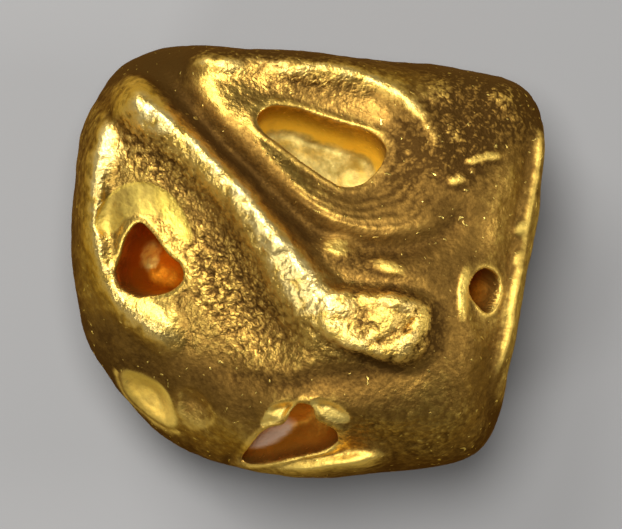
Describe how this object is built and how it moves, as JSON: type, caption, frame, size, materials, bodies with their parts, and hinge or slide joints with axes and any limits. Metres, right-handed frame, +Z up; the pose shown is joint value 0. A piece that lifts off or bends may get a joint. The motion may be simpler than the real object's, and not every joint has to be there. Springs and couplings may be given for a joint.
{
  "type": "gold nugget",
  "caption": "Chunky water-worn gold nugget with a diagonal ridge, a rimmed dish, deep rounded hollows and one flat worn face it lies on.",
  "frame": {"origin": "centre of the nugget's footprint, at the height of the flat worn face it lies on", "axes": "+X along the nugget's length, from the rounded end with the crescent trough to the straighter end; +Y towards the edge above the rimmed dish; +Z up, out of the side with the ridge and the hollows"},
  "size_m": [0.0119, 0.0109, 0.0077],
  "materials": {
    "gold": "worn native gold, satin to granular"
  },
  "bodies": {
    "root": {"nugget": "gold"}
  },
  "joints": []
}
